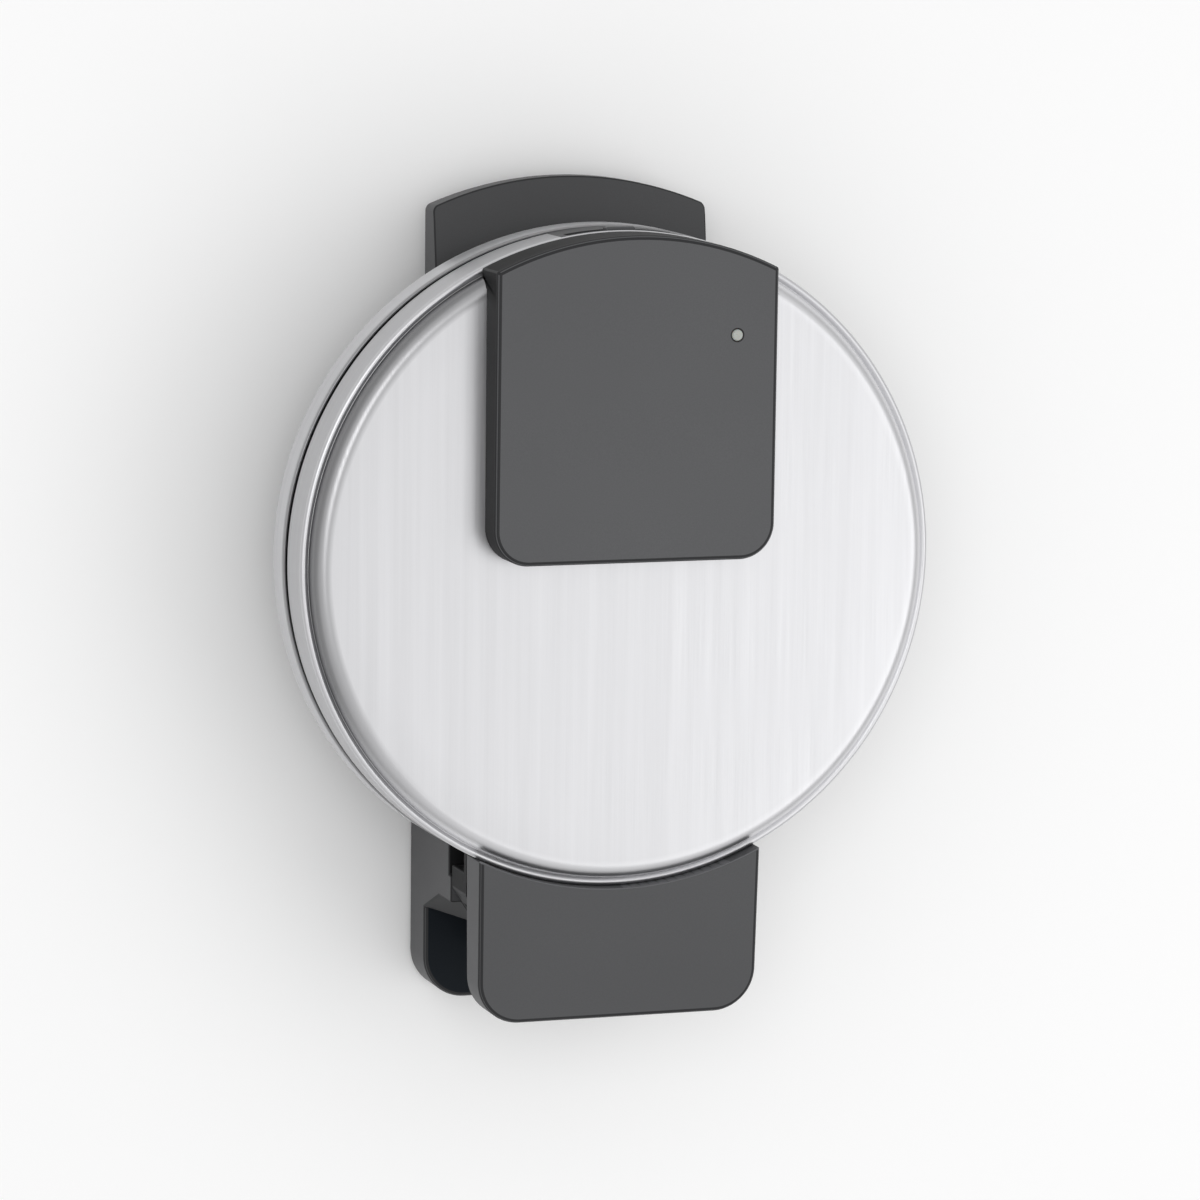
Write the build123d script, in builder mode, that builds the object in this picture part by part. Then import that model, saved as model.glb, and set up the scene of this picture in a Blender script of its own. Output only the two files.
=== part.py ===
from build123d import *
from math import atan2, cos, degrees, hypot, radians, sin, tan
import os

# Round waffle maker, closed and lying flat on its rubber feet, in millimetres.
# +Z is up, the handles point to -Y and the hinge is at +Y. The origin is at foot level under the
# middle of the bounding box. A level is a height above the counter, and a reach is a distance from
# the centre of the cooking disc, along Y or along a radius.

# Outline
disc_radius = 98.0
base_grip_overhang = 12.5
foot_overhang = 39.8
rear_overhang = 43.4
plate_corner = 13.0

# Where the two halves meet
rim_level = 55.45
seam = 2.6
frame_gap = 0.5
clearance = 0.3
running_fit = 0.05

# Lid cover, pressed from brushed steel
sheet = 0.8
lid_wall_height = 15.85
bead_rise = 1.5
bead_radius = 1.1
groove_depth = 2.0
groove_floor_width = 1.0
groove_outer_width = 3.1
groove_inner_slope = 3.3
plateau_rise = 4.0

# Lid handle
handle_half_width = 43.4
handle_setback = 0.3
handle_inner_end = 1.1
handle_tip_level = 87.8
handle_inner_level = 86.7
handle_corner = 10.7
handle_wall = 2.6
handle_edge = 0.9
saddle_setback = 9.4
tongue_setback = 2.8

# Indicator light in the handle
lens_x = -30.5
lens_setback = 29.8
lens_radius = 1.7
lens_rise = 0.3
lens_shoulder = 2.4
lens_length = 6.5

# Browning control in the lid's side wall
panel_half_width = 19.0
panel_depth = 3.5
panel_rise = 13.85
lever_pivot_setback = 50.0
lever_swing = 13.5
lever_level = 67.2
lever_thickness = 1.5
lever_width = 6.0
lever_hub_radius = 5.5
lever_hub_height = 3.0
post_radius = 2.5
post_cap = 1.0
knob_width = 9.0
knob_height = 3.6
knob_depth = 4.4
knob_proud = 0.9
knob_face = 1.9
thermostat_width = 28.0
thermostat_length = 17.0
thermostat_height = 5.8
thermostat_base = 1.0
thermostat_base_width = 16.0

# Cooking plates
cavity_inset = 17.5
plate_draft = 1.5
peg_pitch = 16.0
peg_size = 9.4
peg_height = 6.0
peg_taper = 10.0
ridge_width = 4.4
waffle_web = 4.6
plate_thickness = 2.2
flange_thickness = 2.7
plate_wall = 1.8
post_inset = 27.0
post_width = 6.4

# Heaters and heat shields
heater_inset = 40.0
heater_width = 7.4
heater_height = 6.2
heater_gap_angle = 20.0
heater_runs = 24
heater_pin = 2.4
clip_thickness = 0.5
clip_foot = 4.0
clip_width = 6.0
shield_inset = 27.0
shield_thickness = 0.6
shield_notch_width = 56.0
shield_notch_depth = 23.0

# Base band and housing
band_proud = 0.3
band_height = 11.75
housing_wall = 2.5
housing_floor = 4.0
housing_floor_inset = 20.0
housing_bilge_inset = 12.0
housing_bilge_level = 9.6
housing_waist_inset = 7.0
housing_waist_level = 23.5
housing_ledge = 0.4
vent_inset = 52.0
vent_length = 20.0
vent_width = 3.0
vent_count = 10
well_radius = 3.6
well_top = 30.0
boss_wall = 1.8

# Base handle
grip_half_width = 43.2
grip_bottom = 11.6
grip_tip_level = 20.0
grip_inner_level = 24.5
grip_wedge = 12.5
grip_corner = 2.5
grip_edge = 1.0
grip_wall = 2.6

# Hinge
hinge_overhang = 20.0
hinge_level = 46.6
parting_gap = 1.0
lid_float = 4.0
shaft_radius = 4.0
shaft_head_radius = 6.0
shaft_head = 1.2
slot_clearance = 0.1
ear_radius = 11.0
ear_inner = 17.0
ear_outer = 28.0
ear_foot = 9.0
lug_inner = 10.0
lug_thickness = 4.0
lug_half_width = 10.0
lug_tip = 3.4
web_thickness = 2.0
web_half_width = 35.5
web_inset = 9.5
relief_clearance = 2.3
horn_width = 12.8
horn_overhang = 14.6
facet_width = 7.8
cheek_overhang = 2.8
lid_block_overhang = 6.0
base_block_overhang = 8.0

# Lid foot plate and base rear plate
plate_half_width = 43.8
plate_shell = 2.6
foot_flare = 0.3
foot_taper = 0.3
foot_underside = 62.5
foot_top_level = 76.2
foot_end_level = 74.5
rear_bottom = 2.5
rear_top = 18.6
notch_setback = 3.8
notch_level = 59.1
notch_depth = 10.5
cheek_step_setback = 0.2
cheek_step = 2.3
facet_slot_width = 1.6
facet_slot_length = 13.0
facet_slot_depth = 2.5
facet_slot_end = 1.2
foot_pocket = 8.0
end_edge = 0.8

# Feet
foot_pad_radius = 7.0
front_pad_x = 38.0
front_pad_inset = 41.0
rear_pad_x = 30.0
rear_pad_overhang = 29.0

# Cord inlet
gland_inset = 9.3
gland_level = 31.0
gland_bore = 3.4
gland_body = 4.8
gland_flange = 6.0
gland_flange_thickness = 2.0
gland_length = 14.0
inlet_inset = 26.0

# Wiring
terminal_inset = 34.0
terminal_length = 34.0
terminal_width = 14.0
terminal_height = 11.0
fuse_radius = 2.6
fuse_length = 16.0
fuse_inset = 62.0

# Reaches and radii that follow the cooking disc
base_grip_reach = disc_radius + base_grip_overhang
foot_reach = disc_radius + foot_overhang
rear_reach = disc_radius + rear_overhang
handle_reach = disc_radius - handle_setback
saddle_reach = disc_radius - saddle_setback
saddle_tongue = disc_radius - tongue_setback
lens_reach = handle_reach - lens_setback
lever_pivot_reach = disc_radius - lever_pivot_setback
cavity_radius = disc_radius - cavity_inset
post_reach = disc_radius - post_inset
heater_radius = disc_radius - heater_inset
shield_radius = disc_radius - shield_inset
band_radius = disc_radius + band_proud
housing_floor_radius = disc_radius - housing_floor_inset
housing_bilge_radius = disc_radius - housing_bilge_inset
housing_waist_radius = disc_radius - housing_waist_inset
vent_reach = disc_radius - vent_inset
hinge_reach = disc_radius + hinge_overhang
web_front = disc_radius - web_inset
horn_reach = disc_radius + horn_overhang
cheek_reach = disc_radius + cheek_overhang
lid_block_reach = disc_radius + lid_block_overhang
base_block_reach = disc_radius + base_block_overhang
notch_reach = disc_radius - notch_setback
cheek_step_reach = disc_radius - cheek_step_setback
front_pad_reach = disc_radius - front_pad_inset
rear_pad_reach = disc_radius + rear_pad_overhang
inlet_reach = disc_radius - inlet_inset
terminal_reach = disc_radius - terminal_inset
fuse_reach = disc_radius - fuse_inset

# Widths that follow the hinge plates
foot_half_width = plate_half_width + foot_flare
foot_end_half_width = plate_half_width - foot_taper
horn_inner = plate_half_width - horn_width
horn_face = plate_half_width - facet_width
gland_x = gland_inset - plate_half_width

# Levels and places that follow from the sizes above
disc_y = (base_grip_reach - rear_reach) / 2
lid_wall_foot = rim_level + seam / 2
lid_wall_top = lid_wall_foot + lid_wall_height
bead_crest = lid_wall_top + bead_rise
groove_level = bead_crest - groove_depth
lid_plateau = lid_wall_top + plateau_rise
lid_roof = lid_plateau - sheet
groove_outer = disc_radius - groove_outer_width
groove_inner = groove_outer - groove_floor_width
plateau_radius = groove_inner - groove_inner_slope
handle_roof = handle_inner_level - handle_wall
handle_slope = (handle_tip_level - handle_inner_level) / (handle_reach - handle_inner_end)
lens_level = handle_inner_level + handle_slope * (lens_reach - handle_inner_end) + lens_rise

rim = rim_level + frame_gap / 2
plate_face = rim_level + waffle_web / 2 + peg_height
plate_back = plate_face + plate_thickness
plate_floor_radius = cavity_radius - plate_draft
flange_back = rim + flange_thickness
flange_radius = disc_radius - sheet - running_fit
flange_seat = 2 * rim_level - flange_back
post_length = lid_roof - plate_back
post_foot = 2 * rim_level - lid_roof
shield_level = plate_back + heater_height + clip_thickness

panel_foot = lid_wall_foot + clearance
panel_top = panel_foot + panel_rise
panel_inner = disc_radius - panel_depth
knob_reach = disc_radius + knob_proud
knob_level = lever_level + lever_thickness / 2
lever_reach = knob_reach - knob_face - lever_pivot_reach
slot_half_length = (knob_reach - lever_pivot_reach) * sin(radians(lever_swing)) + knob_width / 2 + clearance

band_top = rim_level - seam / 2
band_foot = band_top - band_height
collar_radius = band_radius - sheet
floor_top = housing_floor + housing_wall

lid_block_level = hinge_level + parting_gap / 2
base_block_level = hinge_level - parting_gap / 2
ear_bore = shaft_radius + running_fit
lug_foot = hinge_level - shaft_radius - lid_float - lug_tip
relief_radius = hypot(lug_half_width, hinge_level - lug_foot) + relief_clearance
disc_fit = disc_radius + clearance / 2

quarter_turn = (45, 135, 225, 315)
spin = Axis((0, disc_y, 0), (0, 0, 1))
lens_place = (lens_x, -lens_reach)
posts_at = [(post_reach * cos(radians(a)), post_reach * sin(radians(a))) for a in quarter_turn]
front_pads_at = [(-front_pad_x, -front_pad_reach), (front_pad_x, -front_pad_reach)]
rear_pads_at = [(-rear_pad_x, rear_pad_reach), (rear_pad_x, rear_pad_reach)]
front_plane = Plane(origin=(0, disc_y, 0), x_dir=(1, 0, 0), z_dir=(0, -1, 0))


def level(height):
    """Horizontal plane at a height, centred on the cooking disc."""
    return Plane(origin=(0, disc_y, height))


def section(angle=90):
    """Upright plane from the disc's centre: local X is the reach, local Y the height."""
    a = radians(angle)
    return Plane(origin=(0, disc_y, 0), x_dir=(cos(a), sin(a), 0), z_dir=(sin(a), -cos(a), 0))


def tilted(near, far):
    """Plane through two (reach, level) points of the middle section, level from side to side."""
    along = Vector(0, far[0] - near[0], far[1] - near[1]).normalized()
    start = (0, disc_y + near[0], near[1])
    return Plane(origin=start, x_dir=(1, 0, 0), z_dir=Vector(1, 0, 0).cross(along))


def outline(plane, *corners):
    """Closed straight-sided face on a plane."""
    with BuildSketch(plane) as drawn:
        with BuildLine():
            Polyline(*corners, close=True)
        make_face()
    return drawn.sketch


def ring(*corners):
    """Face of (radius, level) corners, to be spun about the disc's axis."""
    return outline(section(), *corners)


def discs(height, radius, places):
    """Circles of one radius at several places on a level."""
    with BuildSketch(level(height)) as drawn:
        with Locations(*places):
            Circle(radius)
    return drawn.sketch


def end_plate(half_width, end_half_width, start, end, height):
    """Plan of a foot or rear plate, tapered to an end with two large corners."""
    corners = [(-half_width, start), (half_width, start), (end_half_width, end), (-end_half_width, end)]
    with BuildSketch(level(height)) as drawn:
        with BuildLine():
            Polyline(*corners, close=True)
        make_face()
        fillet(drawn.vertices().group_by(Axis.Y)[-1], plate_corner)
    return drawn.sketch


def grip_plan(height, half_width, tip, inner, corner, corner_end):
    """Plan of a handle whose outer end follows a circle, with one pair of corners rounded."""
    with BuildSketch(level(height)) as drawn:
        Circle(tip)
        with Locations((0, -(inner + tip) / 2)):
            Rectangle(2 * half_width, tip - inner, mode=Mode.INTERSECT)
        fillet(drawn.vertices().group_by(Axis.Y)[corner_end], corner)
    return drawn.sketch


def squares(height, width, places):
    """Squares of one width at several places on a level."""
    with BuildSketch(level(height)) as drawn:
        with Locations(*places):
            Rectangle(width, width)
    return drawn.sketch


def shaft_circle(start, radius):
    """Circle about the hinge axis on the upright plane at one x."""
    with BuildSketch(section().offset(start)) as drawn:
        with Locations((hinge_reach, hinge_level)):
            Circle(radius)
    return drawn.sketch


def cheek_pair(height, far):
    """Rectangles on both cheeks, as deep as the notches, from inside the disc to a reach."""
    with BuildSketch(level(height)) as drawn:
        with Locations(*[(side * (plate_half_width - notch_depth / 2), far / 2) for side in (-1, 1)]):
            Rectangle(notch_depth, far)
    return drawn.sketch


def wall_circle(reach, radius):
    """Circle about the cord inlet's axis on the rear-facing plane at a reach."""
    with BuildSketch(front_plane.offset(-reach)) as drawn:
        with Locations((gland_x, gland_level)):
            Circle(radius)
    return drawn.sketch


# Lid cover: side wall, rolled bead, groove and brushed plateau in one pressed sheet.
with BuildPart() as lid_cover:
    cover_section = ring(
        (disc_radius, lid_wall_foot),
        (disc_radius, bead_crest - bead_radius),
        (disc_radius - bead_radius, bead_crest),
        (groove_outer, groove_level),
        (groove_inner, groove_level),
        (plateau_radius, lid_plateau),
        (0, lid_plateau),
        (0, lid_roof),
        (plateau_radius - sheet / 2, lid_roof),
        (groove_inner - sheet / 2, groove_level - sheet),
        (disc_radius - sheet, groove_level - sheet),
        (disc_radius - sheet, lid_wall_foot),
    )
    revolve(cover_section, axis=spin)
    with BuildSketch(level(lid_wall_foot - 1)):
        with Locations((0, -disc_radius)):
            Rectangle(2 * panel_half_width, 2 * panel_depth)
    extrude(amount=panel_top + clearance - lid_wall_foot + 1, mode=Mode.SUBTRACT)
    with BuildSketch(level(flange_back - clearance)):
        with Locations((0, disc_radius)):
            Rectangle(2 * (web_half_width + clearance), 2 * (disc_radius - web_front))
    extrude(amount=web_thickness + 2 * clearance, mode=Mode.SUBTRACT)

# Lid handle: a moulded shell that saddles the plateau, the groove and the bead.
with BuildPart() as lid_handle:
    extrude(
        grip_plan(groove_level, handle_half_width, handle_reach, handle_inner_end, handle_corner, -1),
        amount=handle_tip_level - groove_level + handle_wall,
    )
    split(
        bisect_by=tilted((-handle_reach, handle_tip_level), (-handle_inner_end, handle_inner_level)),
        keep=Keep.BOTTOM,
    )
    chamfer(lid_handle.faces().sort_by(Axis.Z)[-1].edges(), handle_edge)
    saddle = ring(
        (0, groove_level - 1),
        (0, lid_plateau),
        (plateau_radius + clearance, lid_plateau),
        (groove_inner + clearance, groove_level + clearance),
        (saddle_tongue, groove_level + clearance),
        (saddle_tongue + clearance, bead_crest + clearance),
        (disc_radius + 1, bead_crest + clearance),
        (disc_radius + 1, groove_level - 1),
    )
    revolve(saddle, axis=spin, mode=Mode.SUBTRACT)
    pocket_plan = grip_plan(
        lid_plateau,
        handle_half_width - handle_wall,
        saddle_reach,
        handle_inner_end + handle_wall,
        handle_corner - handle_wall,
        -1,
    )
    extrude(pocket_plan, amount=handle_roof - lid_plateau, mode=Mode.SUBTRACT)
    boss_height = handle_roof - lid_plateau
    extrude(squares(lid_plateau, 2 * (lens_shoulder + boss_wall), [lens_place]), amount=boss_height)
    extrude(discs(lid_plateau, lens_shoulder, [lens_place]), amount=boss_height, mode=Mode.SUBTRACT)
    extrude(discs(handle_roof, lens_radius, [lens_place]), amount=2 * handle_wall, mode=Mode.SUBTRACT)

# Indicator lens: a stepped light guide that stands a little proud of the handle.
with BuildPart() as indicator_lens:
    extrude(discs(handle_roof, lens_shoulder, [lens_place]), amount=-lens_length)
    extrude(discs(handle_roof, lens_radius, [lens_place]), amount=lens_level - handle_roof)
    chamfer(indicator_lens.faces().sort_by(Axis.Z)[-1].edges(), lens_rise)

# Control panel: the dark insert in the lid's side wall, with the slot that the knob slides in.
with BuildPart() as control_panel:
    panel_skins = ((flange_radius + clearance, panel_foot), (panel_inner, flange_back + clearance))
    for inner_radius, foot in panel_skins:
        with BuildSketch(level(foot)):
            Circle(disc_radius)
            Circle(inner_radius, mode=Mode.SUBTRACT)
            with Locations((0, -disc_radius)):
                Rectangle(2 * panel_half_width - clearance, 6 * panel_depth, mode=Mode.INTERSECT)
        extrude(amount=panel_top - foot)
    with BuildSketch(front_plane):
        with Locations((0, knob_level)):
            Rectangle(2 * slot_half_length, knob_height + 2 * clearance)
    extrude(amount=disc_radius + 1, mode=Mode.SUBTRACT)

# Thermostat on the upper plate, with the post that the browning lever turns on.
thermostat_reach = lever_pivot_reach - lever_hub_radius - 1 - thermostat_length / 2
post_cap_level = lever_level + lever_hub_height + clearance
pivot = [(0, -lever_pivot_reach)]
with BuildPart() as thermostat:
    base_end = lever_pivot_reach + lever_hub_radius
    base_start = thermostat_reach - thermostat_length / 2
    with BuildSketch(level(plate_back)):
        with Locations((0, -(base_start + base_end) / 2)):
            Rectangle(thermostat_base_width, base_end - base_start)
    extrude(amount=thermostat_base)
    with BuildSketch(level(plate_back)):
        with Locations((0, -thermostat_reach)):
            Rectangle(thermostat_width, thermostat_length)
    extrude(amount=thermostat_height)
    chamfer(thermostat.faces().sort_by(Axis.Z)[-1].edges(), clip_thickness)
    extrude(discs(plate_back, post_radius, pivot), amount=post_cap_level - plate_back)
    extrude(discs(post_cap_level, post_radius + post_cap, pivot), amount=post_cap)

# Browning lever: swings about the thermostat's post and carries the knob in the panel's slot.
with BuildSketch(level(lever_level)) as lever_bar:
    with Locations((0, -lever_pivot_reach - lever_reach / 2)):
        Rectangle(lever_width, lever_reach)

with BuildPart() as control_lever:
    extrude(lever_bar.sketch, amount=lever_thickness)
    extrude(discs(lever_level, lever_hub_radius, pivot), amount=lever_hub_height)
    extrude(discs(lever_level, post_radius + running_fit, pivot), amount=lever_hub_height, mode=Mode.SUBTRACT)

with BuildPart() as lever_knob:
    with BuildSketch(level(knob_level - knob_height / 2)):
        with Locations((0, -knob_reach + knob_depth / 2)):
            Rectangle(knob_width, knob_depth)
    extrude(amount=knob_height)
    chamfer(lever_knob.faces().sort_by(Axis.Y)[0].edges(), knob_proud / 2)
    extrude(lever_bar.sketch, amount=lever_thickness, mode=Mode.SUBTRACT)

# Upper cooking plate: rimmed dish, cross ridges, tapered pegs and four posts in one casting.
peg_steps = [peg_pitch * (k + 0.5) + ridge_width / 2 for k in range(5)]
pegs_at = [
    (sx * x, sy * y)
    for x in peg_steps
    for y in peg_steps
    for sx in (-1, 1)
    for sy in (-1, 1)
    if hypot(x + peg_size / 2, y + peg_size / 2) < plate_floor_radius
]
peg_inset = peg_height * tan(radians(peg_taper))
peg_end = peg_size - peg_inset
with BuildPart() as upper_grid:
    dish = ring(
        (0, plate_face),
        (plate_floor_radius, plate_face),
        (cavity_radius, rim),
        (flange_radius, rim),
        (flange_radius, flange_back),
        (cavity_radius + plate_wall, flange_back),
        (plate_floor_radius + plate_wall, plate_back),
        (0, plate_back),
    )
    revolve(dish, axis=spin)
    with Locations(level(plate_face - peg_height / 2)):
        with Locations(*pegs_at):
            peg_window = (peg_inset, peg_inset, peg_end, peg_end)
            Wedge(peg_size, peg_height, peg_size, *peg_window, rotation=(-90, 0, 0))
    ridge_length = 2 * plate_floor_radius
    for across, along in ((ridge_width, ridge_length), (ridge_length, ridge_width)):
        with BuildSketch(level(plate_face)):
            Rectangle(across, along)
        extrude(amount=-peg_height)
    extrude(squares(plate_back, post_width, posts_at), amount=post_length)

# Upper heater: a flattened tube bent to a horseshoe in short runs, open towards the lever.
pin_angles = [270 - heater_gap_angle - 4, 270 + heater_gap_angle + 4]
pins_at = [(heater_radius * cos(radians(a)), heater_radius * sin(radians(a))) for a in pin_angles]
with BuildPart() as upper_heater:
    with BuildSketch(level(plate_back)):
        RegularPolygon(heater_radius + heater_width / 2, heater_runs)
        RegularPolygon(heater_radius - heater_width / 2, heater_runs, mode=Mode.SUBTRACT)
        with Locations((0, -heater_radius)):
            Rectangle(2 * heater_radius * sin(radians(heater_gap_angle)), heater_radius, mode=Mode.SUBTRACT)
    extrude(amount=heater_height)
    pin_foot = plate_back + heater_height / 2
    extrude(squares(pin_foot, heater_pin, pins_at), amount=heater_height / 2 + heater_pin)

with BuildPart() as upper_heater_clips:
    for angle in (0, 90, 180):
        foot = heater_width / 2 + 2 * clearance + clip_thickness
        strap = [
            (heater_radius - foot - clip_foot, plate_back),
            (heater_radius - foot - clip_foot, plate_back + clip_thickness),
            (heater_radius - foot, plate_back + clip_thickness),
            (heater_radius - foot, shield_level),
            (heater_radius + foot, shield_level),
            (heater_radius + foot, plate_back + clip_thickness),
            (heater_radius + foot + clip_foot, plate_back + clip_thickness),
            (heater_radius + foot + clip_foot, plate_back),
            (heater_radius + foot - clip_thickness, plate_back),
            (heater_radius + foot - clip_thickness, shield_level - clip_thickness),
            (heater_radius - foot + clip_thickness, shield_level - clip_thickness),
            (heater_radius - foot + clip_thickness, plate_back),
        ]
        extrude(outline(section(angle), *strap), amount=clip_width / 2, both=True)

with BuildPart() as upper_heat_shield:
    with BuildSketch(level(shield_level)):
        RegularPolygon(shield_radius, 8, rotation=22.5)
        with Locations((0, -shield_radius)):
            Rectangle(shield_notch_width, 2 * shield_notch_depth, mode=Mode.SUBTRACT)
    extrude(amount=shield_thickness)

# The base's cooking plate, heater, clips and shield are the lid's, turned face up.
turn_over = level(rim_level)

with BuildPart() as lower_grid:
    mirror(upper_grid.part, about=turn_over)

with BuildPart() as lower_heater:
    mirror(upper_heater.part, about=turn_over)

with BuildPart() as lower_heater_clips:
    mirror(upper_heater_clips.part, about=turn_over)

with BuildPart() as lower_heat_shield:
    mirror(upper_heat_shield.part, about=turn_over)

# Thermal fuse under the lower plate, in the middle of its heater.
with BuildPart() as thermal_fuse:
    fuse_back = 2 * rim_level - plate_back
    with BuildSketch(level(fuse_back)):
        with Locations((0, -fuse_reach)):
            Rectangle(fuse_length + 8, 2 * fuse_radius)
    extrude(amount=-clip_thickness)
    with BuildSketch(section(0).offset(fuse_reach)):
        with Locations((0, fuse_back - clip_thickness - fuse_radius)):
            RegularPolygon(fuse_radius, 8, major_radius=False)
    extrude(amount=fuse_length / 2, both=True)

# Base housing: a moulded bowl whose collar carries the lower plate and the band.
with BuildPart() as base_envelope:
    skin = ring(
        (0, rim_level),
        (band_radius + clearance / 2, rim_level),
        (band_radius + clearance / 2, band_foot),
        (collar_radius + housing_ledge, band_foot),
        (housing_waist_radius, housing_waist_level),
        (housing_bilge_radius, housing_bilge_level),
        (housing_floor_radius, housing_floor),
        (housing_floor_radius, 0),
        (0, 0),
    )
    revolve(skin, axis=spin)

with BuildPart() as base_housing:
    bowl = ring(
        (0, housing_floor),
        (housing_floor_radius, housing_floor),
        (housing_bilge_radius, housing_bilge_level),
        (housing_waist_radius, housing_waist_level),
        (collar_radius + housing_ledge, band_foot),
        (collar_radius - running_fit, band_foot),
        (collar_radius - running_fit, flange_seat),
        (collar_radius - housing_wall, flange_seat),
        (housing_waist_radius - housing_wall, housing_waist_level),
        (housing_floor_radius - housing_ledge, floor_top),
        (0, floor_top),
    )
    revolve(bowl, axis=spin)
    extrude(squares(floor_top, 2 * (well_radius + boss_wall), posts_at), amount=post_foot - floor_top)
    extrude(discs(0, well_radius, posts_at), amount=well_top, mode=Mode.SUBTRACT)
    with BuildSketch(level(housing_floor)):
        with PolarLocations(vent_reach, vent_count):
            Rectangle(vent_length, vent_width)
    extrude(amount=housing_wall, mode=Mode.SUBTRACT)
    extrude(wall_circle(inlet_reach, gland_body), amount=inlet_reach - disc_radius, mode=Mode.SUBTRACT)

with BuildPart() as base_band:
    with BuildSketch(level(band_foot)):
        Circle(band_radius)
        Circle(collar_radius, mode=Mode.SUBTRACT)
    extrude(amount=band_height)

# Base handle: a moulded wedge under the band, hollow below, that reaches past the lid's handle.
with BuildPart() as base_handle:
    extrude(
        grip_plan(grip_bottom, grip_half_width, base_grip_reach, housing_floor_radius, grip_corner, 0),
        amount=grip_inner_level - grip_bottom,
    )
    wedge_start = base_grip_reach - grip_wedge
    wedge = outline(
        section(),
        (-wedge_start, grip_inner_level),
        (-base_grip_reach, grip_tip_level),
        (-base_grip_reach - 1, grip_tip_level),
        (-base_grip_reach - 1, grip_inner_level + 1),
        (-wedge_start, grip_inner_level + 1),
    )
    extrude(wedge, amount=grip_half_width, both=True, mode=Mode.SUBTRACT)
    chamfer(base_handle.faces().sort_by(Axis.Z)[0].edges(), grip_edge)
    pocket_start = disc_radius - 2 * grip_wall
    with BuildSketch(level(grip_bottom)):
        Circle(base_grip_reach - grip_wall)
        with Locations((0, -(pocket_start + base_grip_reach) / 2)):
            Rectangle(2 * (grip_half_width - grip_wall), base_grip_reach - pocket_start, mode=Mode.INTERSECT)
    extrude(amount=grip_tip_level - grip_bottom - grip_wall, mode=Mode.SUBTRACT)
    add(base_envelope.part, mode=Mode.SUBTRACT)

# Horn of the base's cheek, cut to a facet that widens from nothing at the rear plate.
horn_level = rear_top - end_edge
with BuildPart() as horn:
    with BuildSketch(level(horn_level)):
        with Locations(((horn_inner + plate_half_width) / 2, (cheek_reach + horn_reach - end_edge) / 2)):
            Rectangle(plate_half_width - horn_inner, horn_reach - cheek_reach + end_edge)
    extrude(amount=base_block_level - horn_level)
    facet_foot = Vector(plate_half_width, disc_y + horn_reach, horn_level)
    facet_front = Vector(plate_half_width, disc_y + cheek_reach, base_block_level)
    facet_back = Vector(horn_face, disc_y + horn_reach, base_block_level)
    facet_normal = (facet_front - facet_foot).cross(facet_back - facet_foot)
    split(bisect_by=Plane(origin=facet_foot, z_dir=facet_normal), keep=Keep.TOP)

# Base hinge cover: rear plate and cheeks in one moulding, relieved where the lid's lugs swing.
with BuildPart() as base_hinge_cover:
    rear_start = housing_floor_radius / 2
    rear_plan = end_plate(plate_half_width, plate_half_width, rear_start, rear_reach, rear_bottom)
    extrude(rear_plan, amount=rear_top - rear_bottom)
    rear_faces = base_hinge_cover.faces().group_by(Axis.Z)
    chamfer(rear_faces[-1].edges() + rear_faces[0].edges(), end_edge)
    with BuildSketch(level(horn_level)):
        with Locations((0, base_block_reach / 2)):
            Rectangle(2 * plate_half_width, base_block_reach)
    extrude(amount=base_block_level - horn_level)
    add(horn.part)
    mirror(horn.part, about=Plane.YZ)
    extrude(shaft_circle(-ear_inner, relief_radius), amount=2 * ear_inner, mode=Mode.SUBTRACT)
    step_plan = cheek_pair(base_block_level - cheek_step, cheek_step_reach)
    extrude(step_plan, amount=cheek_step, mode=Mode.SUBTRACT)
    extrude(wall_circle(inlet_reach, gland_body), amount=inlet_reach - horn_reach, mode=Mode.SUBTRACT)
    add(base_envelope.part, mode=Mode.SUBTRACT)

# Hinge ears: a block screwed down on the rear plate, whose two ears hold the hinge shaft.
with BuildPart() as hinge_ears:
    pedestal = outline(
        section().offset(-ear_outer),
        (hinge_reach - ear_radius, rear_top),
        (hinge_reach + ear_foot, rear_top),
        (hinge_reach + ear_foot, hinge_level - ear_radius / 2),
        (hinge_reach, hinge_level),
        (hinge_reach - ear_radius, hinge_level),
    )
    extrude(pedestal, amount=2 * ear_outer)
    extrude(shaft_circle(-ear_outer, ear_radius), amount=2 * ear_outer)
    extrude(shaft_circle(-ear_inner, relief_radius), amount=2 * ear_inner, mode=Mode.SUBTRACT)
    extrude(shaft_circle(-ear_outer, ear_bore), amount=2 * ear_outer, mode=Mode.SUBTRACT)

# Hinge shaft: a round pin, headed at both ends, that the lid's slots ride up and down on.
with BuildPart() as hinge_shaft:
    shaft_end = ear_outer + clearance + shaft_head
    extrude(shaft_circle(-shaft_end, shaft_radius), amount=2 * shaft_end)
    extrude(shaft_circle(-shaft_end, shaft_head_radius), amount=shaft_head)
    extrude(shaft_circle(shaft_end, shaft_head_radius), amount=-shaft_head)

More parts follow.
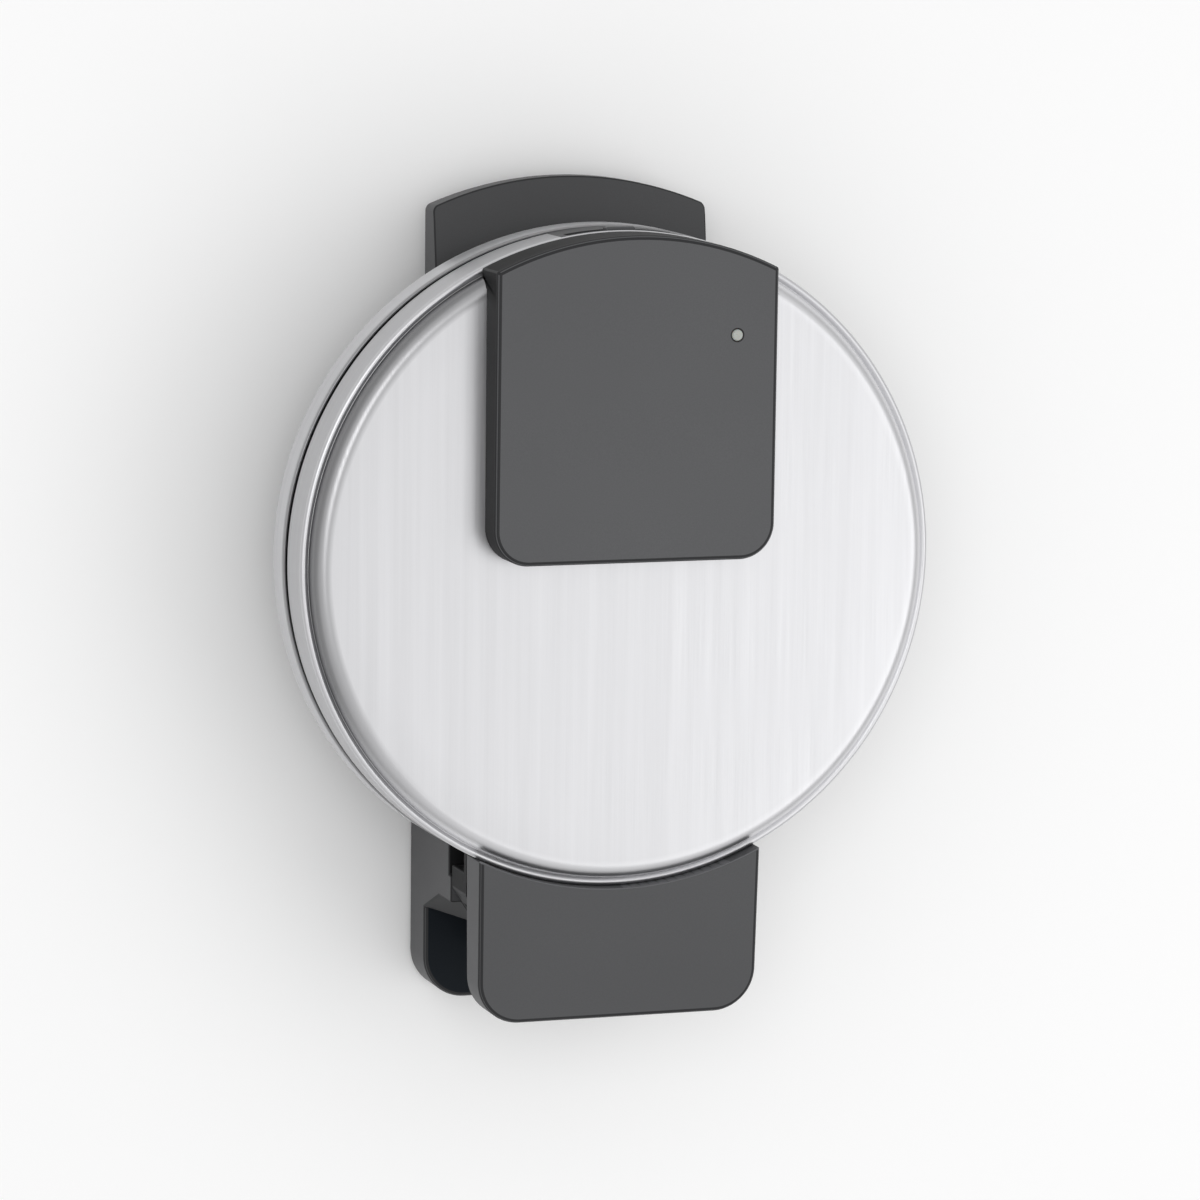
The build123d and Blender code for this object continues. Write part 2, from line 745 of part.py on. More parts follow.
# Hinge bracket: a steel web through the lid's side wall with two slotted lugs on the shaft.
with BuildPart() as lid_hinge_bracket:
    with BuildSketch(level(flange_back)):
        with Locations((0, (web_front + lid_block_reach) / 2 - 2)):
            Rectangle(2 * web_half_width, lid_block_reach - web_front + 4)
        Circle(web_front, mode=Mode.SUBTRACT)
        with Locations((0, (lid_block_reach + hinge_reach + lug_half_width) / 2)):
            Rectangle(2 * (lug_inner + lug_thickness), hinge_reach + lug_half_width - lid_block_reach)
    extrude(amount=web_thickness)
    slot_half = shaft_radius + slot_clearance
    for start in (-lug_inner - lug_thickness, lug_inner):
        lug = outline(
            section().offset(start),
            (hinge_reach - lug_half_width, flange_back),
            (hinge_reach - lug_half_width, lug_foot + lug_tip),
            (hinge_reach - lug_half_width + lug_tip, lug_foot),
            (hinge_reach + lug_half_width - lug_tip, lug_foot),
            (hinge_reach + lug_half_width, lug_foot + lug_tip),
            (hinge_reach + lug_half_width, flange_back),
        )
        extrude(lug, amount=lug_thickness)
        slot = outline(
            section().offset(start),
            (hinge_reach - slot_half, hinge_level + slot_half),
            (hinge_reach - slot_half, hinge_level - lid_float - slot_half),
            (hinge_reach + slot_half, hinge_level - lid_float - slot_half),
            (hinge_reach + slot_half, hinge_level + slot_half),
        )
        extrude(slot, amount=lug_thickness, mode=Mode.SUBTRACT)

# Lid hinge cover: foot plate and cheeks in one moulding, cut round the disc.
with BuildPart() as lid_hinge_cover:
    foot_plan = end_plate(foot_half_width, foot_end_half_width, disc_radius * 0.8, foot_reach, foot_underside)
    extrude(foot_plan, amount=foot_top_level - foot_underside + 1)
    split(
        bisect_by=tilted((disc_radius, foot_top_level), (foot_reach, foot_end_level)),
        keep=Keep.BOTTOM,
    )
    chamfer(lid_hinge_cover.faces().sort_by(Axis.Z)[-1].edges(), end_edge)
    with BuildSketch(level(foot_underside)):
        with Locations((0, (horn_reach + foot_reach) / 2)):
            Rectangle(2 * (foot_end_half_width - plate_corner / 2), foot_reach - horn_reach - 2 * plate_shell)
    extrude(amount=foot_pocket, mode=Mode.SUBTRACT)
    block = outline(
        level(lid_block_level),
        (-plate_half_width, disc_radius / 2),
        (plate_half_width, disc_radius / 2),
        (plate_half_width, cheek_reach),
        (horn_face, horn_reach),
        (horn_inner, horn_reach),
        (horn_inner, lid_block_reach),
        (-horn_inner, lid_block_reach),
        (-horn_inner, horn_reach),
        (-horn_face, horn_reach),
        (-plate_half_width, cheek_reach),
    )
    extrude(block, amount=foot_underside - lid_block_level)
    notch_plan = cheek_pair(lid_block_level, notch_reach)
    extrude(notch_plan, amount=notch_level - lid_block_level, mode=Mode.SUBTRACT)
    with BuildSketch(level(lid_block_level + facet_slot_end)):
        slot_turn = degrees(atan2(horn_reach - cheek_reach, horn_face - plate_half_width))
        for side in (-1, 1):
            facet_middle = (side * (horn_face + plate_half_width) / 2, (horn_reach + cheek_reach) / 2)
            with Locations(Location((*facet_middle, 0), (0, 0, side * slot_turn))):
                Rectangle(facet_slot_width, 2 * facet_slot_depth)
    extrude(amount=facet_slot_length, mode=Mode.SUBTRACT)
    with BuildSketch(level(flange_back)):
        with Locations((0, disc_radius)):
            Rectangle(2 * (web_half_width + clearance), 2 * (disc_radius - web_front))
    extrude(amount=web_thickness, mode=Mode.SUBTRACT)
    extrude(discs(0, disc_fit, [(0, 0)]), amount=2 * foot_top_level, mode=Mode.SUBTRACT)
    extrude(discs(0, band_radius + parting_gap, [(0, 0)]), amount=lid_wall_foot, mode=Mode.SUBTRACT)

# Cord inlet: a headed rubber bush in the cheek, with the bore that the cord passes through.
with BuildPart() as cord_gland:
    extrude(wall_circle(horn_reach, gland_body), amount=gland_length)
    with BuildSketch(front_plane.offset(-horn_reach)):
        with Locations((gland_x, gland_level)):
            RegularPolygon(gland_flange, 8, rotation=22.5)
    extrude(amount=-gland_flange_thickness)
    bore = wall_circle(horn_reach + gland_flange_thickness, gland_bore)
    extrude(bore, amount=gland_length + gland_flange_thickness, mode=Mode.SUBTRACT)

with BuildPart() as rubber_feet:
    extrude(discs(0, foot_pad_radius, front_pads_at), amount=housing_floor)
    extrude(discs(0, foot_pad_radius, rear_pads_at), amount=rear_bottom)

# Terminal block on the housing's floor, between the cord inlet and the heaters.
with BuildPart() as terminal_block:
    with BuildSketch(level(floor_top)):
        with Locations((0, terminal_reach)):
            Rectangle(terminal_length, terminal_width)
    extrude(amount=terminal_height)
    with BuildSketch(level(floor_top + terminal_height)):
        with Locations((0, terminal_reach)):
            with GridLocations(terminal_length / 3, 0, 3, 1):
                Rectangle(terminal_length / 5, terminal_width - 4)
    extrude(amount=-terminal_height / 2, mode=Mode.SUBTRACT)

pieces = {
    "lid_cover": lid_cover,
    "lid_handle": lid_handle,
    "indicator_lens": indicator_lens,
    "control_panel": control_panel,
    "thermostat": thermostat,
    "control_lever": control_lever,
    "lever_knob": lever_knob,
    "upper_grid": upper_grid,
    "upper_heater": upper_heater,
    "upper_heater_clips": upper_heater_clips,
    "upper_heat_shield": upper_heat_shield,
    "lid_hinge_bracket": lid_hinge_bracket,
    "lid_hinge_cover": lid_hinge_cover,
    "hinge_shaft": hinge_shaft,
    "lower_grid": lower_grid,
    "lower_heater": lower_heater,
    "lower_heater_clips": lower_heater_clips,
    "lower_heat_shield": lower_heat_shield,
    "thermal_fuse": thermal_fuse,
    "base_housing": base_housing,
    "base_band": base_band,
    "base_handle": base_handle,
    "base_hinge_cover": base_hinge_cover,
    "hinge_ears": hinge_ears,
    "cord_gland": cord_gland,
    "rubber_feet": rubber_feet,
    "terminal_block": terminal_block,
}
os.makedirs("parts", exist_ok=True)
for piece_name, piece in pieces.items():
    piece.part.label = piece_name
    export_step(piece.part, f"parts/{piece_name}.step")
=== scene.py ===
"""Round waffle maker: the looks of each piece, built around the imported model."""

from math import acos, cos, pi, radians, sin, sqrt

import bmesh
import bpy
from bpy.props import FloatProperty, FloatVectorProperty, IntProperty, PointerProperty
from mathutils import Matrix, Vector


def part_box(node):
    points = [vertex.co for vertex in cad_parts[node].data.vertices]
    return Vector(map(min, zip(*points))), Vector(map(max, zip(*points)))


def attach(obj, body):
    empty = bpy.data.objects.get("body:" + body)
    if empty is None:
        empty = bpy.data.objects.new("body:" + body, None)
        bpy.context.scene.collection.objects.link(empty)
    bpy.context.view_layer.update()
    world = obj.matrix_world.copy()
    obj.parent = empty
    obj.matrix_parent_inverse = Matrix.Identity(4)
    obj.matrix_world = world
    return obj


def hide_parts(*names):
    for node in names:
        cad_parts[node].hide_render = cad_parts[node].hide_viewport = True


bl_info = {
    "name": "Round waffle maker",
    "version": (1, 0, 0),
    "blender": (4, 5, 0),
    "location": "View3D > Sidebar > Waffle maker",
    "description": "Builds the pressed steel, moulded and cast pieces of a round waffle maker",
    "category": "Add Mesh",
}

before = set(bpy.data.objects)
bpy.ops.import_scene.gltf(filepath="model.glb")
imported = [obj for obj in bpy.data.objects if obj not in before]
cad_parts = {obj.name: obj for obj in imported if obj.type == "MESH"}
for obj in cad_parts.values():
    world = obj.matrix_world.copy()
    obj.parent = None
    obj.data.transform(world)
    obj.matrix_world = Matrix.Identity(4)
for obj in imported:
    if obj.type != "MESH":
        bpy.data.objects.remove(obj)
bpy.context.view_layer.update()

MM = 0.001
disc_y = (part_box("base_band")[0].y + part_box("base_band")[1].y) / 2
band_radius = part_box("base_band")[1].x
band_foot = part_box("base_band")[0].z
band_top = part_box("base_band")[1].z
lid_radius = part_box("lid_cover")[1].x
lid_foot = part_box("lid_cover")[0].z
lid_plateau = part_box("lid_cover")[1].z
lid_crest = lid_plateau - 4.7 * MM
bead_inside = lid_radius - 2.5 * MM


# Shader maths


class Term:
    """One node socket that takes part in an expression."""

    def __init__(self, finish, socket):
        self.finish = finish
        self.socket = socket

    def math(self, operation, first, second):
        kind = "ShaderNodeVectorMath" if self.socket.type in {"VECTOR", "RGBA"} else "ShaderNodeMath"
        return self.finish.node(kind, {"operation": operation}, first, second)

    def __add__(self, other):
        return self.math("ADD", self, other)

    def __radd__(self, other):
        return self.math("ADD", other, self)

    def __sub__(self, other):
        return self.math("SUBTRACT", self, other)

    def __rsub__(self, other):
        return self.math("SUBTRACT", other, self)

    def __mul__(self, other):
        return self.math("MULTIPLY", self, other)

    def __rmul__(self, other):
        return self.math("MULTIPLY", other, self)

    def __gt__(self, other):
        return self.math("GREATER_THAN", self, other)

    def __lt__(self, other):
        return self.math("LESS_THAN", self, other)


class Finish:
    """The recipe of one surface: the nodes of a material, or of the sky."""

    def __init__(self, owner):
        self.owner = owner
        owner.use_nodes = True
        self.tree = owner.node_tree
        self.tree.nodes.clear()

    def node(self, kind, settings=None, *values, out=0, **named):
        """Adds a node: its settings first, then its sockets by order or by name."""
        made = self.tree.nodes.new(kind)
        for key, value in (settings or {}).items():
            setattr(made, key, value)
        sockets = [s for s in made.inputs if s.enabled]
        for target, value in list(zip(sockets, values)) + [(made.inputs[k], v) for k, v in named.items()]:
            if isinstance(value, Term):
                self.tree.links.new(value.socket, target)
            elif target.type == "RGBA":
                target.default_value = (*value[:3], 1.0)
            elif isinstance(value, (int, float)) and target.type == "VECTOR":
                target.default_value = (value, value, value)
            else:
                target.default_value = value
        outputs = [s for s in made.outputs if s.enabled]
        return Term(self, outputs[out] if isinstance(out, int) else made.outputs[out])

    def place(self):
        """Position on the piece, in metres."""
        return self.node("ShaderNodeTexCoord", out="Object")

    def split(self, vector):
        """The three parts of a vector."""
        made = self.node("ShaderNodeSeparateXYZ", None, vector).socket.node
        return [Term(self, s) for s in made.outputs]

    def join(self, x, y, z):
        return self.node("ShaderNodeCombineXYZ", None, x, y, z)

    def noise(self, vector, scale, detail=2.0, roughness=0.5):
        values = {"Vector": vector, "Scale": scale, "Detail": detail, "Roughness": roughness}
        return self.node("ShaderNodeTexNoise", None, out="Fac", **values)

    def remap(self, value, low, high, to_low, to_high):
        return self.node("ShaderNodeMapRange", None, value, low, high, to_low, to_high)

    def blend(self, mask, first, second):
        """Mixes two colours by a mask."""
        return self.node("ShaderNodeMix", {"data_type": "RGBA", "clamp_factor": True}, mask, first, second)

    def bump(self, height, strength, distance):
        values = {"Strength": strength, "Distance": distance, "Height": height}
        return self.node("ShaderNodeBump", None, out="Normal", **values)

    def show(self, shader, output_kind):
        """Links the finished shader to its output."""
        output = self.tree.nodes.new(output_kind)
        self.tree.links.new(shader.socket, output.inputs["Surface"])
        return self.owner

    def surface(self, **sockets):
        return self.show(self.node("ShaderNodeBsdfPrincipled", None, **sockets), "ShaderNodeOutputMaterial")


def new_finish(name):
    return Finish(bpy.data.materials.new(name))


def shade(colour, factor):
    """A lighter or darker tone of a colour."""
    return tuple(c * factor for c in colour)


def lid_painted_light(f, steel, tint, x, y, z, radius):
    """Paints shade on the lid's side wall, and on the slope paints shade on the side turned from the light
    and a little painted highlight on the side turned to it.
    """
    # Painted shade: the side wall below the bead is darkened.
    wall = f.remap(z, lid_crest - 1.2 * MM, lid_crest - 0.4 * MM, 1.0, 0.0)
    tint = f.blend(wall * 0.75, tint, shade(steel, 0.72))
    # Painted light and shade on the slope between the plateau's edge and the bead: darker on the side turned
    # from the light, a little lighter on the side turned to it.
    inside_bead = f.remap(radius, bead_inside, bead_inside + 0.5 * MM, 1.0, 0.0)
    steep = f.remap(radius, lid_radius - 4.6 * MM, lid_radius - 3.6 * MM, 0.5, 1.0)
    slope = f.remap(radius, lid_radius - 8.4 * MM, lid_radius - 7.0 * MM, 0.0, 1.0)
    turned_away = f.remap(x * 0.906 + y * -0.423, 10 * MM, 65 * MM, 0.0, 1.0)
    slope_painted_light = f.blend(turned_away, shade(steel, 1.08), shade(steel, 0.36))
    return f.blend(inside_bead * steep * slope, tint, slope_painted_light)


def brushed_steel(name, colour, round_only=False):
    """Steel brushed straight across the face, and round the axis on the side wall, with painted shade and a
    little painted highlight on the lid's wall and slope, and a painted shadow along the band's top edge.
    """
    f = new_finish(name)
    x, y, z = f.split(f.place())
    y = y - disc_y
    radius = f.node("ShaderNodeVectorMath", {"operation": "LENGTH"}, f.join(x, y, 0.0))
    turn = f.node("ShaderNodeMath", {"operation": "ARCTAN2"}, y, x)
    round_fine = f.noise(f.join(z * 3200.0, radius * 3200.0, turn * 2.5), 1.0, 3.0)
    round_broad = f.noise(f.join(z * 500.0, radius * 500.0, turn * 1.5), 1.0, 2.0)
    if round_only:
        fine, broad = round_fine, round_broad
    else:
        on_wall = radius > bead_inside - 0.1 * MM
        on_face = 1.0 - on_wall
        straight_fine = f.noise(f.join(x * 2600.0, y * 22.0, 0.0), 1.0, 4.0, 0.6)
        straight_broad = f.noise(f.join(x * 320.0, y * 5.0, 1.7), 1.0, 3.0, 0.6)
        fine = on_face * straight_fine + on_wall * round_fine
        broad = on_face * straight_broad + on_wall * round_broad
    cloud = f.noise(f.join(x * 9.0, y * 4.0, z * 9.0), 1.0, 2.0)
    tint = f.blend(f.remap(broad, 0.3, 0.7, 0.0, 1.0), shade(colour, 0.93), shade(colour, 1.0))
    tint = f.blend(f.remap(cloud, 0.35, 0.7, 0.0, 0.35), tint, shade(colour, 0.9))
    if round_only:
        # Painted shadow: the band darkens towards its top edge, where the lid's wall shades it.
        painted_lip_shadow = f.remap(z, band_top - 2.6 * MM, band_top - 0.4 * MM, 0.0, 1.0)
        tint = f.blend(painted_lip_shadow, tint, shade(colour, 0.45))
    else:
        # Painted shade and light on the lid's side wall and slope.
        tint = lid_painted_light(f, colour, tint, x, y, z, radius)
    return f.surface(
        **{
            "Base Color": tint,
            "Metallic": 1.0,
            "Roughness": f.remap(fine, 0.2, 0.8, 0.3, 0.44),
            "Normal": f.bump(fine * 0.7 + broad * 0.3, 0.16, 0.00012),
        }
    )


def moulded_plastic(name, colour, roughness=0.5, texture=0.35, gloss=0.5):
    """Plastic with the fine even spark texture of its mould and a little handling shine."""
    f = new_finish(name)
    place = f.place()
    spark = f.noise(place, 2600.0, 2.0, 0.6)
    grit = f.noise(place, 900.0, 2.0, 0.5)
    cloud = f.noise(place, 14.0, 3.0, 0.5)
    tint = f.blend(f.remap(spark, 0.35, 0.7, 0.0, 1.0), shade(colour, 0.93), shade(colour, 1.07))
    tint = f.blend(f.remap(cloud, 0.3, 0.75, 0.0, 0.5), tint, shade(colour, 0.94))
    rough = f.remap(cloud, 0.3, 0.7, roughness - 0.05, roughness + 0.05)
    return f.surface(
        **{
            "Base Color": tint,
            "Roughness": rough,
            "Specular IOR Level": gloss,
            "Normal": f.bump(spark * 0.6 + grit * 0.4, texture, 0.00008),
        }
    )


def cast_coating(name, colour):
    """Black non-stick coating over a cast plate: small orange-peel with faint mineral specks."""
    f = new_finish(name)
    place = f.place()
    peel = f.noise(place, 700.0, 2.0, 0.55)
    speck = f.noise(place, 3800.0, 1.0, 0.5)
    tint = f.blend(f.remap(speck, 0.66, 0.74, 0.0, 0.6), colour, shade(colour, 2.6))
    return f.surface(
        **{
            "Base Color": tint,
            "Roughness": f.remap(peel, 0.3, 0.7, 0.3, 0.44),
            "Specular IOR Level": 0.55,
            "Normal": f.bump(peel, 0.3, 0.00012),
        }
    )


def bare_metal(name, colour, roughness):
    """Plain sheet or tube metal with faint rolling lines and a dull patchy oxide."""
    f = new_finish(name)
    place = f.place()
    x, y, z = f.split(place)
    lines = f.noise(f.join(x * 600.0, y * 30.0, z * 300.0), 1.0, 3.0, 0.6)
    patch = f.noise(place, 35.0, 4.0, 0.6)
    tint = f.blend(f.remap(patch, 0.35, 0.7, 0.0, 1.0), colour, shade(colour, 0.78))
    return f.surface(
        **{
            "Base Color": tint,
            "Metallic": 1.0,
            "Roughness": f.remap(patch, 0.3, 0.75, roughness - 0.06, roughness + 0.1),
            "Normal": f.bump(lines, 0.2, 0.0001),
        }
    )


def powdery(name, colour, roughness=0.75):
    """Rubber or ceramic: matt, with a soft uneven grain."""
    f = new_finish(name)
    place = f.place()
    grain = f.noise(place, 1500.0, 3.0, 0.6)
    patch = f.noise(place, 60.0, 3.0, 0.6)
    tint = f.blend(f.remap(patch, 0.3, 0.7, 0.0, 1.0), shade(colour, 0.88), shade(colour, 1.1))
    return f.surface(
        **{
            "Base Color": tint,
            "Roughness": f.remap(grain, 0.3, 0.7, roughness - 0.1, roughness + 0.1),
            "Normal": f.bump(grain, 0.35, 0.0001),
        }
    )


def light_guide(name, colour):
    """Frosted off-white guide that passes a little light."""
    f = new_finish(name)
    frost = f.noise(f.place(), 1800.0, 2.0, 0.5)
    return f.surface(
        **{
            "Base Color": f.blend(frost, shade(colour, 0.94), colour),
            "Roughness": f.remap(frost, 0.3, 0.7, 0.25, 0.36),
            "Subsurface Weight": 0.15,
            "Coat Weight": 0.3,
            "Normal": f.bump(frost, 0.12, 0.00005),
        }
    )


# Mesh helpers


def new_piece(name, bm, finish, smooth_angle=32.0):
    """A mesh object from a finished bmesh, with sharp edges kept where faces turn hard."""
    bmesh.ops.recalc_face_normals(bm, faces=bm.faces)
    mesh = bpy.data.meshes.new(name)
    bm.to_mesh(mesh)
    bm.free()
    for polygon in mesh.polygons:
        polygon.use_smooth = True
    mesh.set_sharp_from_angle(angle=radians(smooth_angle))
    mesh.materials.append(finish)
    made = bpy.data.objects.new(name, mesh)
    bpy.context.scene.collection.objects.link(made)
    return made


def arc(centre, radius, start, end, steps):
    """Points of an arc in a section, angles in degrees from the outward direction."""
    return [
        (
            centre[0] + radius * cos(radians(start + (end - start) * k / steps)),
            centre[1] + radius * sin(radians(start + (end - start) * k / steps)),
        )
        for k in range(steps + 1)
    ]


def rounded(corners, radii):
    """An open section line whose inner corners are rounded, each by its own radius."""
    steps = 5
    line = [Vector(corners[0])]
    for before, corner, after, radius in zip(corners, corners[1:], corners[2:], radii):
        a, b, c = Vector(before), Vector(corner), Vector(after)
        into, away = (a - b).normalized(), (c - b).normalized()
        half = acos(max(-1.0, min(1.0, into.dot(away)))) / 2
        shorter = min((a - b).length, (c - b).length)
        reach = min(radius / max(1e-6, abs(sin(half) / cos(half))), shorter * 0.49)
        for k in range(steps + 1):
            t = k / steps
            line.append((b + into * reach) * (1 - t) ** 2 + b * 2 * t * (1 - t) + (b + away * reach) * t * t)
    line.append(Vector(corners[-1]))
    return [(p.x, p.y) for p in line]


def lathe(bm, line, turns, closed=False):
    """Spins a section line of (radius, level) points about the disc's upright axis."""
    rings = []
    for radius, height in line:
        if radius < 1e-7:
            rings.append([bm.verts.new((0.0, disc_y, height))])
        else:
            rings.append(
                [
                    bm.verts.new((radius * cos(a), disc_y + radius * sin(a), height))
                    for a in (2 * pi * k / turns for k in range(turns))
                ]
            )
    pairs = list(zip(rings, rings[1:])) + ([(rings[-1], rings[0])] if closed else [])
    for low, high in pairs:
        for k in range(turns):
            n = (k + 1) % turns
            if len(low) == 1:
                bm.faces.new((low[0], high[k], high[n]))
            elif len(high) == 1:
                bm.faces.new((low[k], low[n], high[0]))
            else:
                bm.faces.new((low[k], low[n], high[n], high[k]))


def cut(piece, cutter):
    """Cuts another object out of a piece, and removes the cutter."""
    tool = piece.modifiers.new("cut", "BOOLEAN")
    tool.object = cutter
    tool.operation = "DIFFERENCE"
    tool.solver = "EXACT"
    apply_modifiers(piece)
    bpy.data.objects.remove(cutter)


def apply_modifiers(piece):
    """Writes the result of a piece's modifiers into its mesh."""
    bpy.context.view_layer.update()
    ready = piece.evaluated_get(bpy.context.evaluated_depsgraph_get())
    mesh = bpy.data.meshes.new_from_object(ready)
    piece.modifiers.clear()
    piece.data = mesh


def cutting_block(name, low, high):
    """A box between two corners, to cut with."""
    bm = bmesh.new()
    made = bmesh.ops.create_cube(bm, size=1.0)["verts"]
    size = Vector(high) - Vector(low)
    bmesh.ops.scale(bm, vec=size, verts=made)
    bmesh.ops.translate(bm, vec=(Vector(low) + Vector(high)) / 2, verts=made)
    mesh = bpy.data.meshes.new(name)
    bm.to_mesh(mesh)
    bm.free()
    made = bpy.data.objects.new(name, mesh)
    bpy.context.scene.collection.objects.link(made)
    return made


def reach_of(point):
    """How far a point lies towards the hinge from the disc's centre."""
    return point.y - disc_y


def radius_of(point):
    """How far a point lies from the disc's upright axis."""
    return sqrt(point.x**2 + reach_of(point) ** 2)


def everywhere(middle, facing):
    return True


def beside_disc(middle, facing):
    """Whether a face is on the wall that curves round the disc, at the hinge end."""
    at_hinge_end = reach_of(middle) > 60 * MM and middle.z > 70 * MM
    return at_hinge_end and radius_of(middle) < lid_radius + 1.6 * MM


def pick_finish(face, finishes):
    """Gives a face the first finish whose test passes for its middle and direction."""
    middle, facing = face.calc_center_median(), face.normal
    face.material_index = next(k for k, (_, test) in enumerate(finishes) if test(middle, facing))


def two_sided(edges):
    return [e for e in edges if len(e.link_faces) == 2]


def softened(name, node, finishes, radius, painted_edge_finish=None, reshape=None, rounds=(), steps=3):
    """A piece with the solid's form and its hard edges rounded.

    Each finish comes with a test of a face's middle and direction, and the first that passes is
    used. Rounds pair a test of an edge's middle with a larger radius. The rounded edges take the
    painted edge shade finish, but beside the disc they keep the finish of their faces.
    """
    low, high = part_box(node)
    bm = bmesh.new()
    bm.from_mesh(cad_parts[node].data)
    bmesh.ops.remove_doubles(bm, verts=bm.verts, dist=1e-6)
    if reshape:
        for vert in bm.verts:
            reshape(vert.co)
    bmesh.ops.dissolve_limit(bm, angle_limit=radians(0.6), verts=bm.verts, edges=bm.edges)
    bm.normal_update()
    for face in bm.faces:
        pick_finish(face, finishes)
    for test, large in rounds:
        chosen = [e for e in two_sided(bm.edges) if test((e.verts[0].co + e.verts[1].co) / 2)]
        bmesh.ops.bevel(
            bm, geom=chosen, offset=large, segments=7, profile=0.5, affect="EDGES", clamp_overlap=True
        )
    hard = [e for e in two_sided(bm.edges) if e.calc_face_angle(0.0) > radians(28.0)]
    edge_index = len(finishes)
    bmesh.ops.bevel(
        bm, geom=hard, offset=radius, segments=steps, profile=0.5, affect="EDGES", clamp_overlap=False,
        offset_type="OFFSET", miter_outer="SHARP", material=edge_index if painted_edge_finish else -1,
    )
    for vert in bm.verts:
        vert.co = Vector(max(low[k], min(high[k], vert.co[k])) for k in range(3))
    for face in bm.faces:
        if face.material_index == edge_index and beside_disc(face.calc_center_median(), face.normal):
            pick_finish(face, finishes)
    piece = new_piece(name, bm, finishes[0][0], 40.0)
    for finish, _ in finishes[1:]:
        piece.data.materials.append(finish)
    if painted_edge_finish:
        piece.data.materials.append(painted_edge_finish)
    weighted = piece.modifiers.new("even shading", "WEIGHTED_NORMAL")
    weighted.keep_sharp = True
    return piece


def paint(nodes, finish):
    """Gives carried-over solids their finish."""
    for name in nodes:
        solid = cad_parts[name]
        solid.data.materials.clear()
        solid.data.materials.append(finish)


def place_piece(piece, body, slot, *stands_for):
    """Lets a piece ride on its body, in place of the solids that it stands for."""
    if stands_for:
        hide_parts(*stands_for)
    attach(piece, body)


# Settings


def length(name, description, default):
    return FloatProperty(name=name, description=description, default=default, unit="LENGTH", precision=5)


def colour(name, description, default):
    return FloatVectorProperty(
        name=name, description=description, default=default, subtype="COLOR", size=3, min=0.0, max=1.0
    )


def position(name, description, default):
    return FloatVectorProperty(
        name=name, description=description, default=default, size=3, subtype="TRANSLATION", unit="LENGTH"
    )


def power(name, description, default):
    return FloatProperty(name=name, description=description, default=default, min=0.0, unit="POWER")


class WaffleSizes(bpy.types.PropertyGroup):
    """Sizes that the solids leave to the looks."""

    lid_sheet: length("Lid sheet", "Thickness of the pressed lid", 0.6 * MM)
    lid_hem: length("Lid hem", "Radius of the turned-in foot of the lid's wall", 0.9 * MM)
    bead_radius: length("Bead radius", "Rolled edge round the lid", 1.1 * MM)
    valley_drop: length("Valley drop", "From the bead's crest down to the foot of the slope", 0.6 * MM)
    slope_run: length("Slope run", "How far in the plateau's slope reaches", 4.4 * MM)
    panel_gap: length("Panel gap", "Clearance at each side of the browning panel", 0.15 * MM)
    band_sheet: length("Band sheet", "Thickness of the base's band", 0.8 * MM)
    band_edge: length("Band edge", "Rounding of the band's edges", 0.35 * MM)
    edge_round: length("Moulded edge", "Rounding along the edges of handles and covers", 0.45 * MM)
    plate_round: length("Cast edge", "Rounding along the edges of the cooking plates", 0.35 * MM)
    small_round: length("Small edge", "Rounding of the bowl's slots, the shaft and the cord inlet", 0.3 * MM)
    knob_round: length("Knob edge", "Rounding of the browning knob", 0.25 * MM)
    bracket_round: length("Bracket edge", "Rounding of the hinge bracket", 0.2 * MM)
    fine_round: length("Fine edge", "Rounding of the panel and the indicator", 0.12 * MM)
    foot_round: length("Foot edge", "Rounding of the rubber feet", 0.7 * MM)
    screw_reach: length("Screw reach", "From the disc's centre to each screw", 71.0 * MM)
    screw_seat: length("Screw seat", "Level of the screws' seats in their wells", 30.0 * MM)
    screw_head: length("Screw head", "Radius of a screw's head", 3.1 * MM)
    screw_depth: length("Screw depth", "Height of a screw's head", 2.2 * MM)
    turns: IntProperty(name="Turns", description="Steps round each spun piece", default=288, min=48, max=720)


class WaffleColours(bpy.types.PropertyGroup):
    """Colours of the finishes, in linear light."""

    steel: colour("Brushed steel", "Lid and band", (0.655, 0.655, 0.67))
    handle: colour("Grey plastic", "Handles and hinge covers", (0.070, 0.071, 0.075))
    housing: colour("Housing plastic", "Bowl under the band", (0.050, 0.051, 0.053))
    panel: colour("Panel plastic", "Insert of the browning control", (0.030, 0.031, 0.033))
    coating: colour("Non-stick coating", "Cooking plates", (0.018, 0.018, 0.019))
    shield: colour("Shield", "Aluminium heat shields", (0.72, 0.73, 0.74))
    heater: colour("Heater", "Heater tubes", (0.36, 0.36, 0.35))
    zinc: colour("Zinc steel", "Bracket and shaft", (0.62, 0.62, 0.60))
    rubber: colour("Rubber", "Feet and gland", (0.020, 0.020, 0.021))
    ceramic: colour("Ceramic", "Terminal block and fuse", (0.72, 0.69, 0.62))
    lens: colour("Light guide", "Indicator in the handle", (0.42, 0.41, 0.37))
    floor: colour("Floor", "Plain pale floor", (0.97, 0.97, 0.97))


